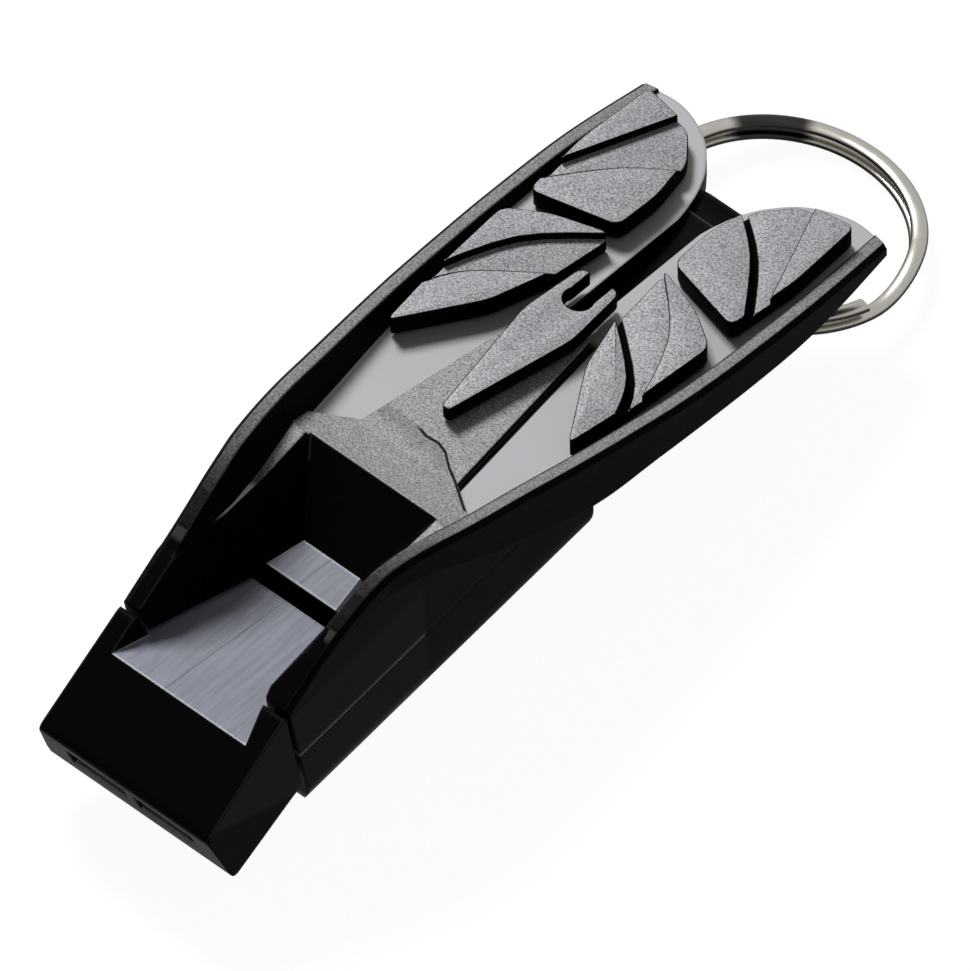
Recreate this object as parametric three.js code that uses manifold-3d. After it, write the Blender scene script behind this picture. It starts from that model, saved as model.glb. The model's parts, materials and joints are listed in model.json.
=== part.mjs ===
// A pealess whistle with a winged grip: a mouthpiece with a two-channel windway, a winged upper shell,
// a lower chamber shell, an inner tone wall, five grip pads and a split ring through the tail keel.
// Millimetres, +Z up, +Y from the mouthpiece to the tail. The origin is at the middle of the flat underside.
import * as THREE from "three";
import { mergeVertices } from "three/addons/utils/BufferGeometryUtils.js";
import Module from "manifold-3d";

const wasm = await Module();
wasm.setup();

// Clearances and walls
const FIT_GAP = 0.3;
const WALL = 1.4;

// Mouthpiece: stations run back from the front of its lip
const LIP_TOP_Z = 8.75;
const LIP_BOTTOM_Z = 3.1;
const LIP_SETBACK = 1.9;
const LIP_ROUND = 0.7;
const LIP_CORNER = 1.2;
const LIP_TOP_HALF = 7.2;
const LIP_BOTTOM_HALF = 8.2;
const TOP_RISE = 0.65;
const SEAM_Y = 8.3;
const SEAM_LEAN = 0.15;
const SEAM_BOTTOM_Z = 4.6;
const SEAM_HALF = 7.1;
const TONGUE_HALF = 5.6;

// Windway through the mouthpiece and its tongue
const WINDWAY_MOUTH_HALF = 5.6;
const WINDWAY_EXIT_HALF = 2.8;
const WINDWAY_WEB = 0.8;
const WINDWAY_MOUTH_Z = 4.9;
const WINDWAY_MOUTH_HEIGHT = 2.4;
const WINDWAY_EXIT_HEIGHT = 1.0;
const WINDWAY_ROOF = 0.7;

// Sound valley between the cheeks
const CREASE_Y = 5.7;
const CREASE_HALF = 5.8;
const WINDOW_Y = 17.0;
const WINDOW_Z = 11.1;
const WINDOW_HALF = 3.0;
const WINDOW_GAP = 1.1;
const LABIUM_Z = 11.8;
const LABIUM_EDGE = 0.5;
const RAMP_BACK_Y = 21.3;
const RAMP_BACK_Z = 11.5;
const RAMP_BACK_HALF = 2.45;
const LEDGE_Z = 16.4;
const LEDGE_HALF = 5.5;

// Body and belly
const BODY_HALF = 7.2;
const SPLIT_Z = 8.4;
const BELLY_ROUND = 4.0;
const BELLY_FRONT_Y = 13.0;
const BELLY_BACK_Y = 36.5;
const BELLY_BACK_ROUND = 3.0;

// Rims and wings as (station, value): rim height, rim half width and the lower edge of the wing
const RIM_Z = [
  [12.0, 16.5], [15.0, 18.0], [18.0, 19.25], [21.0, 19.45], [25.6, 18.55], [30.3, 17.4],
  [35.3, 16.1], [39.7, 15.0], [45.0, 13.65], [50.1, 12.55], [58.3, 10.85], [67.0, 8.7],
];
const RIM_HALF = [
  [8.0, 7.18], [13.0, 7.18], [18.0, 7.6], [21.0, 8.15], [25.6, 8.95], [30.3, 9.5],
  [35.3, 10.1], [39.7, 10.55], [45.0, 10.95], [50.1, 11.15], [58.3, 11.15], [67.0, 10.6],
];
const WING_LOW = [
  [8.0, 12.5], [14.0, 15.6], [20.5, 16.3], [27.3, 13.2], [33.6, 10.7], [37.4, 9.8],
  [42.0, 9.5], [48.0, 8.75], [52.0, 8.1], [56.0, 7.55], [60.0, 7.3], [67.0, 7.15],
];
const RIM_TOP = 1.2;
const RIM_ROUND = 0.35;
const RIM_LEAN = 0.3;
const WING_EDGE = 0.75;
const WING_STEPS = 72;

// Deck with its raised front facet and middle ridge
const DECK_FRONT_Y = 25.7;
const DECK_FRONT_Z = 16.3;
const DECK_Y = 29.3;
const DECK_Z = 14.74;
const DECK_FALL = 0.165;
const FACET_HALF = 7.0;
const FACET_SIDE_Y = 27.2;
const FACET_TIP_Y = 31.3;
const FACET_TIP_HALF = 1.5;
const DECK_PLATE = 1.5;
const RIDGE_HALF = 4.3;
const RIDGE_END_Y = 45.2;
const RIDGE_END_HALF = 2.2;
const RIDGE_RISE = 0.4;

// Tail: slot, notch, wing noses and the keel with its eye
const SLOT_HALF = 0.95;
const SLOT_FLOOR_Z = 9.3;
const SLOT_FLOOR_END_Y = 59.5;
const NOTCH_Y = 46.6;
const NOTCH_RADIUS = 1.05;
const SLOT_END_Y = 58.0;
const NOSE = [[1.2, 59.3], [1.75, 61.2], [2.7, 63.0], [4.6, 65.0], [7.6, 66.2], [10.8, 65.8]];
const KEEL_HALF = 2.4;
const KEEL_FRONT_Y = 48.0;
const KEEL_END_Y = 62.3;
const KEEL_BOTTOM_Z = 2.3;
const KEEL_ROUND = 2.0;
const EYE_Y = 57.0;
const EYE_Z = 4.95;
const EYE_RADIUS = 1.75;

// Grip pads: outlines of the right-hand side in (x, station), and their grooves
const PAD_HEIGHT = 1.8;
const PAD_CORNER = 0.8;
const GROOVE_WIDTH = 0.5;
const GROOVE_DEPTH = 0.5;
const OUTER_PAD = [[8.8, 51.9], [9.3, 58.0], [9.0, 64.6], [4.9, 63.8], [3.0, 61.4], [2.3, 57.5], [2.4, 53.6]];
const OUTER_GROOVES = [
  [[9.6, 52.6], [5.8, 57.9], [1.8, 61.2]],
  [[9.4, 54.0], [7.2, 60.0], [5.2, 65.4]],
];
const INNER_PAD = [[7.9, 36.2], [8.5, 41.0], [9.05, 49.4], [6.3, 51.3], [2.3, 52.7], [2.9, 47.1], [4.2, 42.4]];
const INNER_GROOVES = [
  [[8.8, 40.2], [7.0, 43.7], [2.2, 47.9]],
  [[8.8, 41.6], [6.3, 48.0], [2.0, 52.6]],
];
const CENTRE_PAD = [[0.35, 33.0], [2.15, 43.5], [1.7, 49.0], [-1.7, 49.0], [-2.15, 43.5], [-0.35, 33.0]];

// Inner tone wall and the step that shortens one chamber
const TONE_WALL = 1.2;
const TONE_WALL_Y = 19.6;
const TONE_STEP_LENGTH = 4.5;
const TONE_STEP_HEIGHT = 5.0;

// Split ring of flat wire
const RING_RADIUS = 9.3;
const RING_WIRE_WIDTH = 1.2;
const RING_WIRE_HEIGHT = 0.6;
const RING_WIRE_CHAMFER = 0.15;
const RING_TURN_GAP = 0.45;
const RING_DROOP_DEG = 12.3;
const RING_YAW_DEG = 8.0;
const RING_JOG_DEG = 108;
const RING_JOG_HALF_DEG = 20;
const RING_END_DEG = 24;
const RING_STEPS = 48;

const BASE_Y = (BELLY_FRONT_Y + BELLY_BACK_Y) / 2;
const REACH = BELLY_BACK_Y + BELLY_BACK_ROUND;
const labiumY = WINDOW_Y + WINDOW_GAP;
const tailY = NOSE[NOSE.length - 1][1] + WALL;
const exitCeiling = WINDOW_Z - WINDWAY_ROOF;
const exitFloor = exitCeiling - WINDWAY_EXIT_HEIGHT;
const chamberHalf = BODY_HALF - WALL;
const bodyEndY = BELLY_BACK_Y + BELLY_BACK_ROUND;

// A closed three.js geometry as a solid that can be joined and cut.
function solid(geometry) {
  const bare = geometry.index ? geometry.toNonIndexed() : geometry.clone();
  for (const name of Object.keys(bare.attributes)) {
    if (name !== "position") bare.deleteAttribute(name);
  }
  const merged = mergeVertices(bare, 1e-4);
  const mesh = new wasm.Mesh({
    numProp: 3,
    vertProperties: merged.attributes.position.array,
    triVerts: new Uint32Array(merged.index.array),
  });
  return new wasm.Manifold(mesh);
}

// A solid as a named mesh with its own material.
function piece(name, made, color, roughness, metalness) {
  const data = made.getMesh();
  const geometry = new THREE.BufferGeometry();
  geometry.setAttribute("position", new THREE.BufferAttribute(data.vertProperties, 3));
  geometry.setIndex(new THREE.BufferAttribute(data.triVerts, 1));
  const material = new THREE.MeshStandardMaterial({ color, roughness, metalness });
  const mesh = new THREE.Mesh(geometry, material);
  mesh.name = name;
  return mesh;
}

// A closed outline whose corners are each turned by a short curve.
function rounded(points, reach) {
  const shape = new THREE.Shape();
  const corners = points.map(([a, b]) => new THREE.Vector2(a, b));
  corners.forEach((corner, i) => {
    const into = corners[(i + corners.length - 1) % corners.length].clone().sub(corner);
    const out = corners[(i + 1) % corners.length].clone().sub(corner);
    const size = Math.min(reach, into.length() * 0.45, out.length() * 0.45);
    const start = corner.clone().add(into.setLength(size));
    const end = corner.clone().add(out.setLength(size));
    if (i === 0) shape.moveTo(start.x, start.y);
    else shape.lineTo(start.x, start.y);
    shape.quadraticCurveTo(corner.x, corner.y, end.x, end.y);
  });
  shape.closePath();
  return shape;
}

// A straight-sided outline.
function outline(points) {
  return new THREE.Shape(points.map(([a, b]) => new THREE.Vector2(a, b)));
}

const flatEnds = { bevelEnabled: false, curveSegments: 6 };

// An outline in (station, z) carried across the whistle from x0 to x1.
function acrossX(shape, x0, x1) {
  const geometry = new THREE.ExtrudeGeometry(shape, { ...flatEnds, depth: x1 - x0 });
  const turn = new THREE.Matrix4().set(0, 0, 1, x0, 1, 0, 0, 0, 0, 1, 0, 0, 0, 0, 0, 1);
  return solid(geometry.applyMatrix4(turn));
}

// An outline in (x, z) carried along the whistle from station y0 to y1.
function alongY(shape, y0, y1) {
  const geometry = new THREE.ExtrudeGeometry(shape, { ...flatEnds, depth: y1 - y0 });
  return solid(geometry.rotateX(Math.PI / 2).translate(0, y1, 0));
}

// An outline in (x, station) carried upright from z0 to z1.
function upright(shape, z0, z1) {
  const geometry = new THREE.ExtrudeGeometry(shape, { ...flatEnds, depth: z1 - z0 });
  return solid(geometry.translate(0, 0, z0));
}

// A box between two corners.
function box(x0, x1, y0, y1, z0, z1) {
  const geometry = new THREE.BoxGeometry(x1 - x0, y1 - y0, z1 - z0);
  return solid(geometry.translate((x0 + x1) / 2, (y0 + y1) / 2, (z0 + z1) / 2));
}

// The skin of a row of rings of points, closed by the given end triangles.
function skin(rings, startCap, endCap) {
  const count = rings[0].length;
  const last = (rings.length - 1) * count;
  const faces = [];
  for (let s = 0; s + 1 < rings.length; s++) {
    for (let i = 0; i < count; i++) {
      const a = s * count + i;
      const b = s * count + ((i + 1) % count);
      faces.push(a, a + count, b, b, a + count, b + count);
    }
  }
  startCap.forEach(([a, b, c]) => faces.push(a, b, c));
  endCap.forEach(([a, b, c]) => faces.push(last + a, last + c, last + b));
  const geometry = new THREE.BufferGeometry();
  geometry.setAttribute("position", new THREE.Float32BufferAttribute(rings.flat(2), 3));
  geometry.setIndex(faces);
  return solid(geometry);
}

// A loft through (x, z) sections at stations, each turning anticlockwise seen from the mouthpiece.
function loft(sections) {
  const rings = sections.map(({ y, points }) => points.map(([x, z]) => [x, y, z]));
  const cap = ({ points }) =>
    THREE.ShapeUtils.triangulateShape(points.map(([x, z]) => new THREE.Vector2(x, z)), []);
  return skin(rings, cap(sections[0]), cap(sections[sections.length - 1]));
}

// A section mirrored about the middle plane, from its right half listed from the bottom up.
function mirrored(half) {
  return [...half, ...half.map(([x, z]) => [-x, z]).reverse()];
}

// The value at a station of a smooth curve through (station, value) points.
function curveAt(points, y) {
  const last = points.length - 1;
  const found = points.findIndex((point, k) => k < last && y <= points[k + 1][0]);
  const i = found < 0 ? last - 1 : found;
  const slope = (k) => {
    const low = points[Math.max(0, k - 1)];
    const high = points[Math.min(last, k + 1)];
    return (high[1] - low[1]) / (high[0] - low[0]);
  };
  const span = points[i + 1][0] - points[i][0];
  const t = (y - points[i][0]) / span;
  const [m0, m1] = [slope(i) * span, slope(i + 1) * span];
  const [p0, p1] = [points[i][1], points[i + 1][1]];
  return p0 + m0 * t + (3 * (p1 - p0) - 2 * m0 - m1) * t * t + (2 * (p0 - p1) + m0 + m1) * t * t * t;
}

const topLine = (y) => LIP_TOP_Z + TOP_RISE * y;
const seamAt = (z, gap) => SEAM_Y + gap + (topLine(SEAM_Y) - z) * SEAM_LEAN;
const deckZ = (y) => DECK_Z - DECK_FALL * (y - DECK_Y);
const rimHalf = (y) => curveAt(RIM_HALF, y);
const rimZ = (y) => Math.min(topLine(y), curveAt(RIM_Z, Math.max(y, RIM_Z[0][0])));
const rimFoot = (y) => RIM_TOP + RIM_LEAN * Math.max(rimZ(y) - deckZ(y), 0);
const rampFall = (WINDOW_Z - topLine(CREASE_Y)) / (WINDOW_Y - CREASE_Y);
const rampZ = (y) => topLine(CREASE_Y) + rampFall * (y - CREASE_Y);

// The open valley that falls from the crease to the window and climbs the back wall to the deck.
function valley() {
  const section = (y, z, half) => {
    const ledge = Math.max(LEDGE_Z, z + FIT_GAP);
    const ledgeHalf = Math.max(LEDGE_HALF, half + FIT_GAP / 2);
    const foot = Math.max(ledgeHalf + FIT_GAP / 2, rimHalf(y) - rimFoot(y));
    const rim = Math.max(rimHalf(y) - RIM_TOP, foot);
    const high = Math.max(rimZ(y), ledge + FIT_GAP);
    const wall = [[foot, ledge + FIT_GAP / 6], [rim, high], [rim, high + REACH / 4]];
    return { y, points: mirrored([[half, z], [ledgeHalf, ledge], ...wall]) };
  };
  return loft([
    section(CREASE_Y, topLine(CREASE_Y), CREASE_HALF),
    section(WINDOW_Y, WINDOW_Z, WINDOW_HALF),
    section(labiumY, LABIUM_Z, WINDOW_HALF),
    section(RAMP_BACK_Y, RAMP_BACK_Z, RAMP_BACK_HALF),
    section(DECK_FRONT_Y, DECK_FRONT_Z, LEDGE_HALF),
  ]);
}

// The tongue that carries the windway to the window, grown by a clearance for the socket that takes it.
function tongue(gap) {
  const root = SEAM_Y - WALL;
  const floorZ = exitFloor - WALL / 2;
  const side = outline([
    [root, SEAM_BOTTOM_Z + WALL - gap],
    [WINDOW_Y + gap, floorZ - gap],
    [WINDOW_Y + gap, WINDOW_Z + gap],
    [root, rampZ(root) + gap],
  ]);
  return acrossX(side, -TONGUE_HALF - gap, TONGUE_HALF + gap);
}

// One side of the windway, tapering from the lip to the window.
function windway(side) {
  const section = (y, half, z, height) => {
    const [a, b] = side > 0 ? [WINDWAY_WEB / 2, half] : [-half, -WINDWAY_WEB / 2];
    return { y, points: [[b, z], [b, z + height], [a, z + height], [a, z]] };
  };
  return loft([
    section(-FIT_GAP, WINDWAY_MOUTH_HALF, WINDWAY_MOUTH_Z, WINDWAY_MOUTH_HEIGHT),
    section(WINDOW_Y + FIT_GAP, WINDWAY_EXIT_HALF, exitFloor, WINDWAY_EXIT_HEIGHT),
  ]);
}

function mouthpiece() {
  const top = topLine(SEAM_Y);
  const backBottom = seamAt(SEAM_BOTTOM_Z, 0);
  const profile = rounded(
    [[0, LIP_TOP_Z], [LIP_SETBACK, LIP_BOTTOM_Z], [backBottom, SEAM_BOTTOM_Z], [SEAM_Y, top]],
    LIP_ROUND,
  );
  const drafted = loft([
    { y: -WALL, points: mirrored([[LIP_BOTTOM_HALF, LIP_BOTTOM_Z - WALL], [LIP_TOP_HALF, LIP_TOP_Z + WALL]]) },
    { y: backBottom + WALL, points: mirrored([[SEAM_HALF, SEAM_BOTTOM_Z - WALL], [SEAM_HALF, top + WALL]]) },
  ]);
  const plan = rounded(
    [[-LIP_BOTTOM_HALF, 0], [LIP_BOTTOM_HALF, 0], [LIP_BOTTOM_HALF, REACH], [-LIP_BOTTOM_HALF, REACH]],
    LIP_CORNER,
  );
  return acrossX(profile, -REACH, REACH)
    .intersect(drafted)
    .intersect(upright(plan, -REACH, REACH))
    .add(tongue(0))
    .subtract(valley())
    .subtract(windway(1))
    .subtract(windway(-1));
}

// The slab of the cheeks and wings: rim to lower edge, from the seam past the tail.
function wings() {
  const sections = [];
  for (let k = 0; k <= WING_STEPS; k++) {
    const y = SEAM_Y + ((tailY - SEAM_Y) * k) / WING_STEPS;
    const half = rimHalf(y);
    const low = curveAt(WING_LOW, y);
    const lower = [[half - WING_EDGE, low], [half, low + WING_EDGE]];
    const upper = [[half, rimZ(y) - RIM_ROUND], [half - RIM_ROUND, rimZ(y)]];
    sections.push({ y, points: mirrored([...lower, ...upper]) });
  }
  const behindSeam = outline([
    [seamAt(0, FIT_GAP), 0],
    [3 * REACH, 0],
    [3 * REACH, REACH],
    [seamAt(REACH, FIT_GAP), REACH],
  ]);
  return loft(sections).intersect(acrossX(behindSeam, -REACH, REACH));
}

// The open trough between the rims, whose floor is the deck.
function trough() {
  const first = DECK_FRONT_Y - FIT_GAP;
  const steps = WING_STEPS / 2;
  const sections = [];
  for (let k = 0; k <= steps; k++) {
    const y = first + ((tailY + WALL - first) * k) / steps;
    const rim = rimHalf(y) - RIM_TOP;
    const high = rimZ(y);
    const half = [[rimHalf(y) - rimFoot(y), deckZ(y)], [rim, high], [rim, high + REACH / 4]];
    sections.push({ y, points: mirrored(half) });
  }
  return loft(sections);
}

// The raised facet that falls from the top of the valley's back wall to the deck.
function facet() {
  const frontY = DECK_FRONT_Y - WALL;
  const fall = (DECK_FRONT_Z - deckZ(FACET_TIP_Y)) / (FACET_TIP_Y - DECK_FRONT_Y);
  const plan = outline([
    [-FACET_HALF, frontY],
    [FACET_HALF, frontY],
    [FACET_HALF, FACET_SIDE_Y],
    [FACET_TIP_HALF, FACET_TIP_Y],
    [-FACET_TIP_HALF, FACET_TIP_Y],
    [-FACET_HALF, FACET_SIDE_Y],
  ]);
  const side = outline([
    [frontY, deckZ(frontY) - WALL / 2],
    [FACET_TIP_Y, deckZ(FACET_TIP_Y) - WALL / 2],
    [FACET_TIP_Y, deckZ(FACET_TIP_Y)],
    [frontY, DECK_FRONT_Z + fall * WALL],
  ]);
  return acrossX(side, -REACH, REACH).intersect(upright(plan, -REACH, REACH));
}

// A slab that follows the fall of the deck between two heights above it.
function deckSlab(low, high, y0, y1) {
  const side = outline([
    [y0, deckZ(y0) + low],
    [y1, deckZ(y1) + low],
    [y1, deckZ(y1) + high],
    [y0, deckZ(y0) + high],
  ]);
  return acrossX(side, -REACH, REACH);
}

// The slot with its round notch and everything behind the curved noses of the wings.
function tailCut() {
  const right = [[SLOT_HALF, SLOT_END_Y], ...NOSE].map(([x, y]) => new THREE.Vector2(x, y));
  const left = right.map((point) => new THREE.Vector2(-point.x, point.y)).reverse();
  const radius = Math.max(NOTCH_RADIUS, SLOT_HALF);
  const open = Math.acos(SLOT_HALF / radius);
  const shape = new THREE.Shape();
  shape.absarc(0, NOTCH_Y, radius, Math.PI - open, 2 * Math.PI + open, false);
  shape.lineTo(right[0].x, right[0].y);
  shape.splineThru(right.slice(1));
  shape.lineTo(REACH, right[right.length - 1].y);
  shape.lineTo(REACH, 3 * REACH);
  shape.lineTo(-REACH, 3 * REACH);
  shape.lineTo(-REACH, left[0].y);
  shape.lineTo(left[0].x, left[0].y);
  shape.splineThru(left.slice(1));
  shape.closePath();
  return upright(shape, -REACH, REACH);
}

// The keel under the tail that carries the ring's eye.
function keel() {
  const topZ = SLOT_FLOOR_Z - FIT_GAP;
  const side = rounded(
    [
      [KEEL_FRONT_Y, topZ],
      [KEEL_FRONT_Y + KEEL_ROUND, KEEL_BOTTOM_Z],
      [KEEL_END_Y, KEEL_BOTTOM_Z],
      [KEEL_END_Y, topZ],
    ],
    KEEL_ROUND,
  );
  const frontY = KEEL_FRONT_Y - REACH / 8;
  const plan = rounded(
    [[-KEEL_HALF, frontY], [KEEL_HALF, frontY], [KEEL_HALF, KEEL_END_Y], [-KEEL_HALF, KEEL_END_Y]],
    KEEL_ROUND,
  );
  return acrossX(side, -REACH, REACH).intersect(upright(plan, -REACH, REACH));
}

// The hollow of the tone chambers above the split.
function upperChamber() {
  const under = (y) => deckZ(y) - DECK_PLATE;
  const end = bodyEndY - WALL;
  const front = WINDOW_Y + FIT_GAP / 2;
  const side = outline([
    [front, SPLIT_Z - WALL],
    [end, SPLIT_Z - WALL],
    [end, under(end)],
    [DECK_FRONT_Y + WALL, under(DECK_FRONT_Y + WALL)],
    [RAMP_BACK_Y + WALL, RAMP_BACK_Z - WALL],
    [RAMP_BACK_Y, RAMP_BACK_Z - WALL],
    [labiumY, LABIUM_Z - LABIUM_EDGE],
    [front, LABIUM_Z - LABIUM_EDGE],
  ]);
  return acrossX(side, -chamberHalf, chamberHalf);
}

function wingedShell() {
  const splitZ = SPLIT_Z + FIT_GAP / 2;
  const cheekTop = (y) => [y, rimZ(y) - RIM_ROUND];
  const side = outline([
    [seamAt(splitZ, FIT_GAP), splitZ],
    [bodyEndY, splitZ],
    [bodyEndY, deckZ(bodyEndY) - FIT_GAP],
    [DECK_Y, deckZ(DECK_Y)],
    cheekTop(RIM_Z[3][0]),
    cheekTop(RIM_Z[0][0]),
    cheekTop(SEAM_Y + FIT_GAP),
  ]);
  const ridgeY = DECK_Y - WALL;
  const ridgePlan = outline([
    [-RIDGE_HALF, ridgeY],
    [RIDGE_HALF, ridgeY],
    [RIDGE_END_HALF, RIDGE_END_Y],
    [-RIDGE_END_HALF, RIDGE_END_Y],
  ]);
  const ridgeSlab = deckSlab(-WALL / 2, RIDGE_RISE, ridgeY, RIDGE_END_Y);
  const ridge = ridgeSlab.intersect(upright(ridgePlan, -REACH, REACH));
  const floorHalf = SLOT_HALF + FIT_GAP;
  const floorY = NOTCH_Y - 2 * NOTCH_RADIUS;
  const floorLow = Math.min(curveAt(WING_LOW, floorY) + FIT_GAP / 6, SLOT_FLOOR_Z - FIT_GAP);
  const slotFloor = box(-floorHalf, floorHalf, floorY, SLOT_FLOOR_END_Y, floorLow, SLOT_FLOOR_Z);
  const eyeShape = new THREE.Shape().absarc(EYE_Y, EYE_Z, EYE_RADIUS, 0, 2 * Math.PI, false);
  const window = box(-WINDOW_HALF, WINDOW_HALF, WINDOW_Y, labiumY, SPLIT_Z, LEDGE_Z);
  return acrossX(side, -BODY_HALF, BODY_HALF)
    .add(wings())
    .subtract(trough())
    .add(ridge)
    .add(facet())
    .subtract(valley())
    .subtract(tailCut())
    .add(slotFloor)
    .add(keel())
    .subtract(acrossX(eyeShape, -REACH, REACH))
    .subtract(tongue(FIT_GAP))
    .subtract(upperChamber())
    .subtract(window);
}

// A belly section: straight sides turned by round edges into a flat underside.
function bellySection(inset, top) {
  const half = BODY_HALF - inset;
  const round = Math.max(BELLY_ROUND - inset, FIT_GAP);
  const shape = new THREE.Shape();
  shape.moveTo(half, top);
  shape.lineTo(-half, top);
  shape.lineTo(-half, inset + round);
  shape.absarc(-half + round, inset + round, round, Math.PI, 1.5 * Math.PI, false);
  shape.lineTo(half - round, inset);
  shape.absarc(half - round, inset + round, round, -Math.PI / 2, 0, false);
  shape.closePath();
  return shape;
}

function lowerShell() {
  const splitZ = SPLIT_Z - FIT_GAP / 2;
  const frontZ = SEAM_BOTTOM_Z - WALL / 2;
  const frontY = seamAt(frontZ, FIT_GAP);
  const side = new THREE.Shape();
  side.moveTo(seamAt(splitZ, FIT_GAP), splitZ);
  side.lineTo(frontY, frontZ);
  side.quadraticCurveTo(frontY + FIT_GAP, 0, BELLY_FRONT_Y, 0);
  side.lineTo(BELLY_BACK_Y, 0);
  side.quadraticCurveTo(bodyEndY, 0, bodyEndY, BELLY_BACK_ROUND);
  side.lineTo(bodyEndY, splitZ);
  side.closePath();
  const hollow = alongY(bellySection(WALL, SPLIT_Z + WALL), BELLY_FRONT_Y - WALL / 2, bodyEndY - WALL);
  return alongY(bellySection(0, SPLIT_Z + WALL), 0, bodyEndY + WALL)
    .intersect(acrossX(side, -REACH, REACH))
    .subtract(hollow)
    .subtract(tongue(FIT_GAP));
}

// The wall between the tone chambers, with the step that shortens one of them.
function toneInsert() {
  const floor = WALL + FIT_GAP;
  const end = bodyEndY - WALL - FIT_GAP;
  const roof = (y) => deckZ(y) - DECK_PLATE - FIT_GAP;
  const lipZ = RAMP_BACK_Z - WALL - FIT_GAP;
  const side = outline([
    [TONE_WALL_Y, floor],
    [end, floor],
    [end, roof(end)],
    [DECK_Y, roof(DECK_Y)],
    [RAMP_BACK_Y + WALL + FIT_GAP, lipZ],
    [TONE_WALL_Y, lipZ],
  ]);
  const stepHalf = BODY_HALF - BELLY_ROUND;
  const step = box(0, stepHalf, end - TONE_STEP_LENGTH, end, floor, floor + TONE_STEP_HEIGHT);
  return acrossX(side, -TONE_WALL / 2, TONE_WALL / 2).add(step);
}

// A groove drawn as a band of even width along a curve in (x, station).
function groove(points) {
  const curve = new THREE.SplineCurve(points.map(([x, y]) => new THREE.Vector2(x, y)));
  const middle = curve.getPoints(8);
  const edge = (sign) =>
    middle.map((point, i) => {
      const along = curve.getTangent(i / 8);
      const across = new THREE.Vector2(-along.y, along.x).multiplyScalar((sign * GROOVE_WIDTH) / 2);
      return point.clone().add(across);
    });
  return upright(new THREE.Shape([...edge(1), ...edge(-1).reverse()]), -REACH, REACH);
}

// A pad that stands on the deck, cut by its grooves. Side -1 mirrors it to the left.
function pad(points, grooves, side) {
  const place = (list) => list.map(([x, y]) => [x * side, y]);
  const top = FIT_GAP + PAD_HEIGHT;
  const slab = deckSlab(FIT_GAP, top, 0, 3 * REACH);
  const cutSlab = deckSlab(top - GROOVE_DEPTH, top + PAD_HEIGHT, 0, 3 * REACH);
  const made = upright(rounded(place(points), PAD_CORNER), -REACH, REACH).intersect(slab);
  return grooves.reduce((left, line) => left.subtract(groove(place(line)).intersect(cutSlab)), made);
}

function centrePad() {
  const slab = deckSlab(RIDGE_RISE + FIT_GAP, FIT_GAP + PAD_HEIGHT, 0, 3 * REACH);
  return upright(rounded(CENTRE_PAD, PAD_CORNER), -REACH, REACH).intersect(slab).subtract(tailCut());
}

// One unbroken wire wound twice, with the jog that takes it from the lower turn to the upper one.
function splitRing() {
  const degrees = [RING_DROOP_DEG, RING_YAW_DEG, RING_JOG_DEG, RING_JOG_HALF_DEG, RING_END_DEG];
  const [droop, yaw, jog, jogHalf, endGap] = degrees.map((angle) => THREE.MathUtils.degToRad(angle));
  const axis = new THREE.Vector3(0, Math.sin(droop), Math.cos(droop));
  const back = new THREE.Vector3(0, Math.cos(droop), -Math.sin(droop));
  const toEye = new THREE.Vector3(-Math.sin(yaw), 0, 0).addScaledVector(back, -Math.cos(yaw));
  const across = axis.clone().cross(toEye);
  const centre = new THREE.Vector3(0, EYE_Y, EYE_Z).addScaledVector(toEye, -RING_RADIUS);
  const pitch = RING_WIRE_HEIGHT + RING_TURN_GAP;
  const [w, h, c] = [RING_WIRE_WIDTH / 2, RING_WIRE_HEIGHT / 2, RING_WIRE_CHAMFER];
  const upper = [[w, h - c], [w - c, h], [c - w, h], [-w, h - c]];
  const section = [...upper, ...upper.map(([r, a]) => [-r, -a])];
  const start = jog - 2 * Math.PI + endGap;
  const sweep = 4 * Math.PI - 2 * endGap;
  const rings = [];
  for (let k = 0; k <= 2 * RING_STEPS; k++) {
    const turn = start + (sweep * k) / (2 * RING_STEPS);
    const lift = pitch * (THREE.MathUtils.smoothstep(turn, jog - jogHalf, jog + jogHalf) - 0.5);
    const out = toEye.clone().multiplyScalar(Math.cos(turn)).addScaledVector(across, Math.sin(turn));
    const at = ([r, a]) => centre.clone().addScaledVector(out, RING_RADIUS + r).addScaledVector(axis, lift + a);
    rings.push(section.map((point) => at(point).toArray()));
  }
  let least = Infinity;
  rings.forEach((ring, i) => {
    const far = rings.slice(i + RING_STEPS / 2).flat();
    ring.forEach((p) => {
      far.forEach((q) => {
        least = Math.min(least, Math.hypot(p[0] - q[0], p[1] - q[1], p[2] - q[2]));
      });
    });
  });
  console.log("split_ring least gap between turns " + least.toFixed(3) + " mm");
  const fan = section.slice(2).map((point, i) => [0, i + 1, i + 2]);
  return skin(rings, fan, fan);
}

const whistle = new THREE.Group();
whistle.name = "whistle";
whistle.position.y = -BASE_Y;
whistle.add(
  piece("mouthpiece", mouthpiece(), 0x0d0d0e, 0.3, 0),
  piece("winged_shell", wingedShell(), 0x121213, 0.34, 0),
  piece("lower_shell", lowerShell(), 0x0d0d0e, 0.3, 0),
  piece("tone_insert", toneInsert(), 0x0d0d0e, 0.4, 0),
  piece("left_outer_pad", pad(OUTER_PAD, OUTER_GROOVES, -1), 0x1c1c1e, 0.6, 0),
  piece("right_outer_pad", pad(OUTER_PAD, OUTER_GROOVES, 1), 0x1c1c1e, 0.6, 0),
  piece("left_inner_pad", pad(INNER_PAD, INNER_GROOVES, -1), 0x1c1c1e, 0.6, 0),
  piece("right_inner_pad", pad(INNER_PAD, INNER_GROOVES, 1), 0x1c1c1e, 0.6, 0),
  piece("centre_pad", centrePad(), 0x1c1c1e, 0.6, 0),
  piece("split_ring", splitRing(), 0xc9c7c2, 0.2, 1),
);

export default whistle;
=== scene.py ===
"""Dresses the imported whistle: black moulded shells, textured grip pads and a nickel split ring on a pale floor."""

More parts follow.
